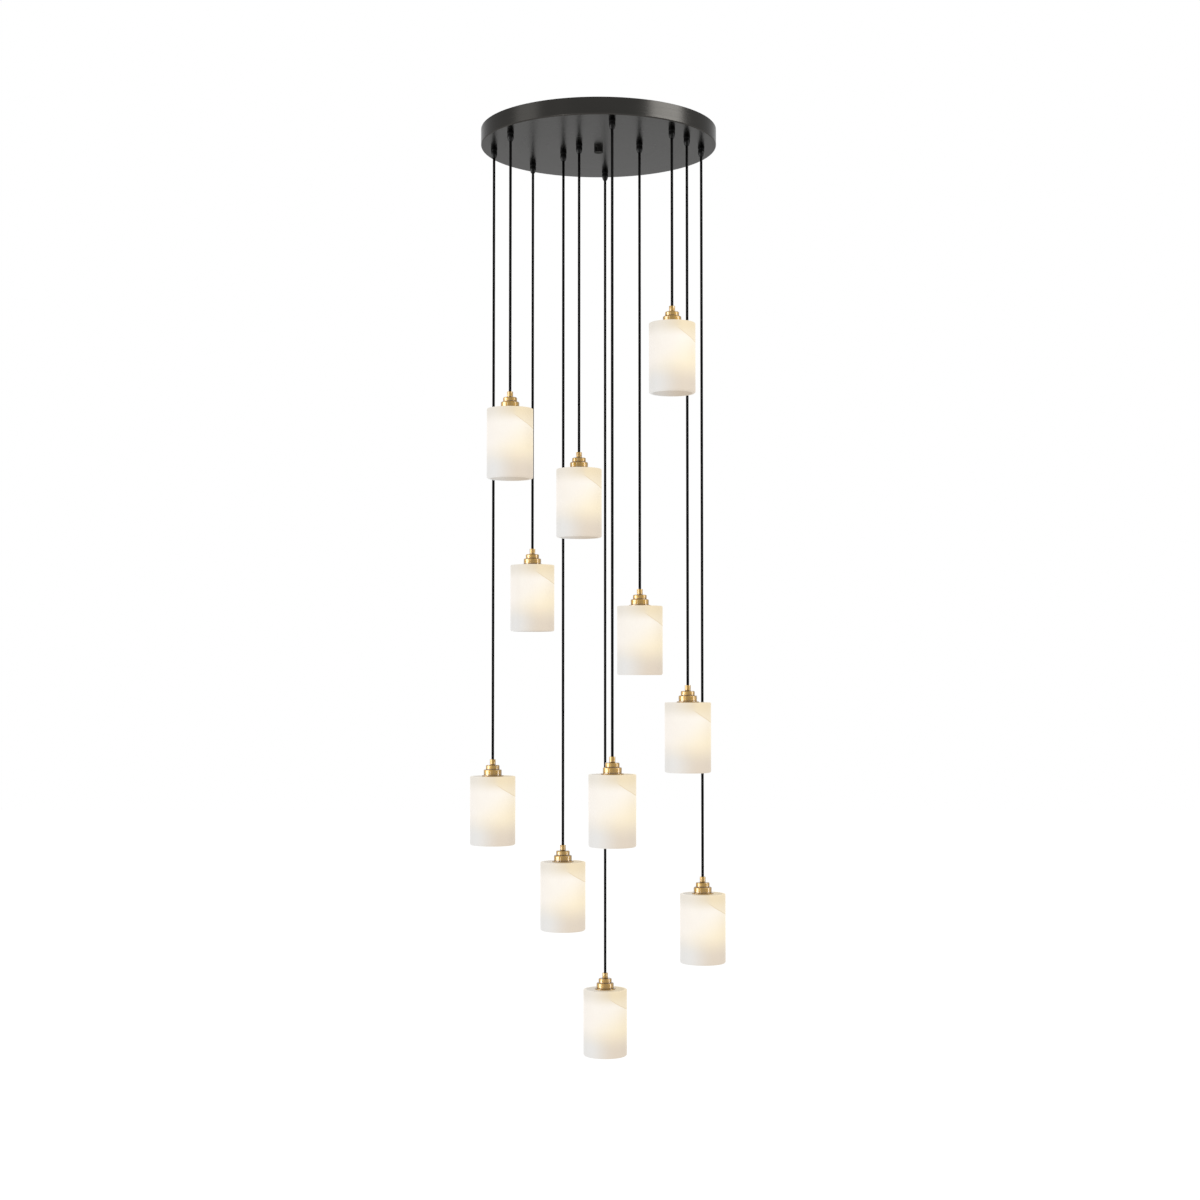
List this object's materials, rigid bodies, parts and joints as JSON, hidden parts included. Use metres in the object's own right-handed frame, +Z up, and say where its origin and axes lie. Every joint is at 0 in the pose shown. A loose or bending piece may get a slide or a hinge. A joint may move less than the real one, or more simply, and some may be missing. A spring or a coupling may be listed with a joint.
{
  "type": "cluster pendant light",
  "caption": "Round dark canopy with a cluster of alabaster cylinder lamps on straight black cords of stepped lengths, brass caps.",
  "frame": {"origin": "on the ceiling plane, at the middle of the canopy and of the bracket's screw slots", "axes": "+Z up into the ceiling, the lamps hang towards -Z, +Y away from the viewer of the picture, +X to the viewer's right, along the bracket"},
  "size_m": [0.484, 0.455, 1.793],
  "materials": {
    "gunmetal": "brushed dark gunmetal plating",
    "zinc_steel": "bright zinc plating",
    "black_lacquer": "gloss black",
    "black_gland": "gloss black",
    "terminal_plastic": "natural nylon",
    "black_flex": "satin round flex",
    "brass": "satin polished",
    "alabaster": "honed, lit from inside",
    "holder_black": "moulded thermoset",
    "opal_lamp": "opal, lit"
  },
  "bodies": {
    "canopy": {"canopy_pan": "gunmetal", "ceiling_bracket": "zinc_steel", "finial_nut": "black_lacquer", "cord_grips": "black_gland", "terminal_block": "terminal_plastic"},
    "hanging_cord_01": {"cord_01": "black_flex"},
    "lamp_01": {"cap_01": "brass", "shade_01": "alabaster", "lampholder_01": "holder_black", "bulb_01": "opal_lamp"},
    "hanging_cord_02": {"cord_02": "black_flex"},
    "lamp_02": {"cap_02": "brass", "shade_02": "alabaster", "lampholder_02": "holder_black", "bulb_02": "opal_lamp"},
    "hanging_cord_03": {"cord_03": "black_flex"},
    "lamp_03": {"cap_03": "brass", "shade_03": "alabaster", "lampholder_03": "holder_black", "bulb_03": "opal_lamp"},
    "hanging_cord_04": {"cord_04": "black_flex"},
    "lamp_04": {"cap_04": "brass", "shade_04": "alabaster", "lampholder_04": "holder_black", "bulb_04": "opal_lamp"},
    "hanging_cord_05": {"cord_05": "black_flex"},
    "lamp_05": {"cap_05": "brass", "shade_05": "alabaster", "lampholder_05": "holder_black", "bulb_05": "opal_lamp"},
    "hanging_cord_06": {"cord_06": "black_flex"},
    "lamp_06": {"cap_06": "brass", "shade_06": "alabaster", "lampholder_06": "holder_black", "bulb_06": "opal_lamp"},
    "hanging_cord_07": {"cord_07": "black_flex"},
    "lamp_07": {"cap_07": "brass", "shade_07": "alabaster", "lampholder_07": "holder_black", "bulb_07": "opal_lamp"},
    "hanging_cord_08": {"cord_08": "black_flex"},
    "lamp_08": {"cap_08": "brass", "shade_08": "alabaster", "lampholder_08": "holder_black", "bulb_08": "opal_lamp"},
    "hanging_cord_09": {"cord_09": "black_flex"},
    "lamp_09": {"cap_09": "brass", "shade_09": "alabaster", "lampholder_09": "holder_black", "bulb_09": "opal_lamp"},
    "hanging_cord_10": {"cord_10": "black_flex"},
    "lamp_10": {"cap_10": "brass", "shade_10": "alabaster", "lampholder_10": "holder_black", "bulb_10": "opal_lamp"},
    "hanging_cord_11": {"cord_11": "black_flex"},
    "lamp_11": {"cap_11": "brass", "shade_11": "alabaster", "lampholder_11": "holder_black", "bulb_11": "opal_lamp"}
  },
  "joints": [
    {"name": "swing_01", "type": "hinge", "parent": "canopy", "child": "hanging_cord_01", "pos_m": [0.136, -0.125, -0.048], "axis": [0, 1, 0], "range_deg": [-15, 15]},
    {"name": "height_01", "type": "slide", "parent": "hanging_cord_01", "child": "lamp_01", "axis": [0, 0, 1], "range_m": [0, 0.2], "deforming": ["cord_01"]},
    {"name": "swing_02", "type": "hinge", "parent": "canopy", "child": "hanging_cord_02", "pos_m": [-0.164, -0.105, -0.048], "axis": [0, 1, 0], "range_deg": [-9, 15]},
    {"name": "height_02", "type": "slide", "parent": "hanging_cord_02", "child": "lamp_02", "axis": [0, 0, 1], "range_m": [0, 0.2], "deforming": ["cord_02"]},
    {"name": "swing_03", "type": "hinge", "parent": "canopy", "child": "hanging_cord_03", "pos_m": [-0.037, -0.02, -0.048], "axis": [0, 1, 0], "range_deg": [-5, 9]},
    {"name": "height_03", "type": "slide", "parent": "hanging_cord_03", "child": "lamp_03", "axis": [0, 0, 1], "range_m": [0, 0.2], "deforming": ["cord_03"]},
    {"name": "swing_04", "type": "hinge", "parent": "canopy", "child": "hanging_cord_04", "pos_m": [-0.13, 0.124, -0.048], "axis": [0, 1, 0], "range_deg": [-15, 15]},
    {"name": "height_04", "type": "slide", "parent": "hanging_cord_04", "child": "lamp_04", "axis": [0, 0, 1], "range_m": [0, 0.2], "deforming": ["cord_04"]},
    {"name": "swing_05", "type": "hinge", "parent": "canopy", "child": "hanging_cord_05", "pos_m": [0.078, -0.025, -0.048], "axis": [0, 1, 0], "range_deg": [-4, 5]},
    {"name": "height_05", "type": "slide", "parent": "hanging_cord_05", "child": "lamp_05", "axis": [0, 0, 1], "range_m": [0, 0.2], "deforming": ["cord_05"]},
    {"name": "swing_06", "type": "hinge", "parent": "canopy", "child": "hanging_cord_06", "pos_m": [0.166, -0.075, -0.048], "axis": [0, 1, 0], "range_deg": [-15, 15]},
    {"name": "height_06", "type": "slide", "parent": "hanging_cord_06", "child": "lamp_06", "axis": [0, 0, 1], "range_m": [0, 0.2], "deforming": ["cord_06"]},
    {"name": "swing_07", "type": "hinge", "parent": "canopy", "child": "hanging_cord_07", "pos_m": [0.025, -0.187, -0.048], "axis": [0, 1, 0], "range_deg": [-15, 15]},
    {"name": "height_07", "type": "slide", "parent": "hanging_cord_07", "child": "lamp_07", "axis": [0, 0, 1], "range_m": [0, 0.2], "deforming": ["cord_07"]},
    {"name": "swing_08", "type": "hinge", "parent": "canopy", "child": "hanging_cord_08", "pos_m": [-0.201, 0.012, -0.048], "axis": [0, 1, 0], "range_deg": [-3, 15]},
    {"name": "height_08", "type": "slide", "parent": "hanging_cord_08", "child": "lamp_08", "axis": [0, 0, 1], "range_m": [0, 0.2], "deforming": ["cord_08"]},
    {"name": "swing_09", "type": "hinge", "parent": "canopy", "child": "hanging_cord_09", "pos_m": [-0.068, 0.035, -0.048], "axis": [0, 1, 0], "range_deg": [-7, 3]},
    {"name": "height_09", "type": "slide", "parent": "hanging_cord_09", "child": "lamp_09", "axis": [0, 0, 1], "range_m": [0, 0.2], "deforming": ["cord_09"]},
    {"name": "swing_10", "type": "hinge", "parent": "canopy", "child": "hanging_cord_10", "pos_m": [0.197, 0.003, -0.048], "axis": [0, 1, 0], "range_deg": [-15, 4]},
    {"name": "height_10", "type": "slide", "parent": "hanging_cord_10", "child": "lamp_10", "axis": [0, 0, 1], "range_m": [0, 0.2], "deforming": ["cord_10"]},
    {"name": "swing_11", "type": "hinge", "parent": "canopy", "child": "hanging_cord_11", "pos_m": [0.013, 0.181, -0.048], "axis": [0, 1, 0], "range_deg": [-15, 15]},
    {"name": "height_11", "type": "slide", "parent": "hanging_cord_11", "child": "lamp_11", "axis": [0, 0, 1], "range_m": [0, 0.2], "deforming": ["cord_11"]}
  ]
}
